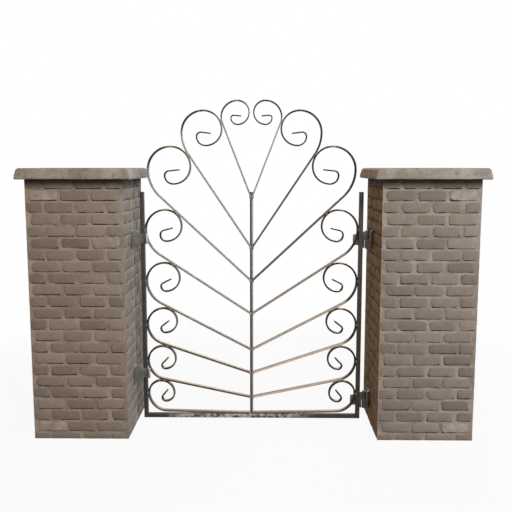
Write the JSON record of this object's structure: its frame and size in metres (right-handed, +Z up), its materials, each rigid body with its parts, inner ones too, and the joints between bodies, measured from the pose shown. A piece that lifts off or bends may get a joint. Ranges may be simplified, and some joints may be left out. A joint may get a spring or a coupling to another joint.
{
  "type": "metal garden gate",
  "caption": "Single-leaf scrolled metal garden gate, hinged at one side, hung between capped brick pillars; the leaf swings back from its keepers.",
  "frame": {"origin": "on the ground, midway between the two pillars and midway through their depth", "axes": "+X along the gateway towards the hinged side, +Y the way the leaf opens, away from the viewer, +Z up"},
  "size_m": [2.53, 0.638, 1.8875],
  "materials": {
    "brickwork": "worn tumbled brick in running bond with pale mortar",
    "coping_stone": "rough weathered coping stone",
    "frame_metal": "dark weathered steel",
    "scroll_metal": "dark bronze-brown weathered steel, brighter where worn",
    "hinge_metal": "dull dark grey"
  },
  "bodies": {
    "posts": {"left_pillar": "brickwork", "right_pillar": "brickwork", "left_cap": "coping_stone", "right_cap": "coping_stone", "upper_hinge_leaf": "hinge_metal", "lower_hinge_leaf": "hinge_metal", "upper_hinge_pin": "hinge_metal", "lower_hinge_pin": "hinge_metal", "upper_keeper": "hinge_metal", "lower_keeper": "hinge_metal"},
    "leaf": {"latch_stile": "frame_metal", "hinge_stile": "frame_metal", "bottom_rail": "frame_metal", "centre_bar": "frame_metal", "left_scroll_1": "scroll_metal", "left_scroll_2": "scroll_metal", "left_scroll_3": "scroll_metal", "left_scroll_4": "scroll_metal", "left_scroll_5": "scroll_metal", "left_scroll_6": "scroll_metal", "left_scroll_7": "scroll_metal", "left_scroll_8": "scroll_metal", "right_scroll_1": "scroll_metal", "right_scroll_2": "scroll_metal", "right_scroll_3": "scroll_metal", "right_scroll_4": "scroll_metal", "right_scroll_5": "scroll_metal", "right_scroll_6": "scroll_metal", "right_scroll_7": "scroll_metal", "right_scroll_8": "scroll_metal", "upper_hinge_strap": "hinge_metal", "lower_hinge_strap": "hinge_metal"}
  },
  "joints": [
    {"name": "gate_swing", "type": "hinge", "parent": "posts", "child": "leaf", "pos_m": [0.659, 0.0245, 0.6], "axis": [0, 0, -1], "range_deg": [0, 90]}
  ]
}
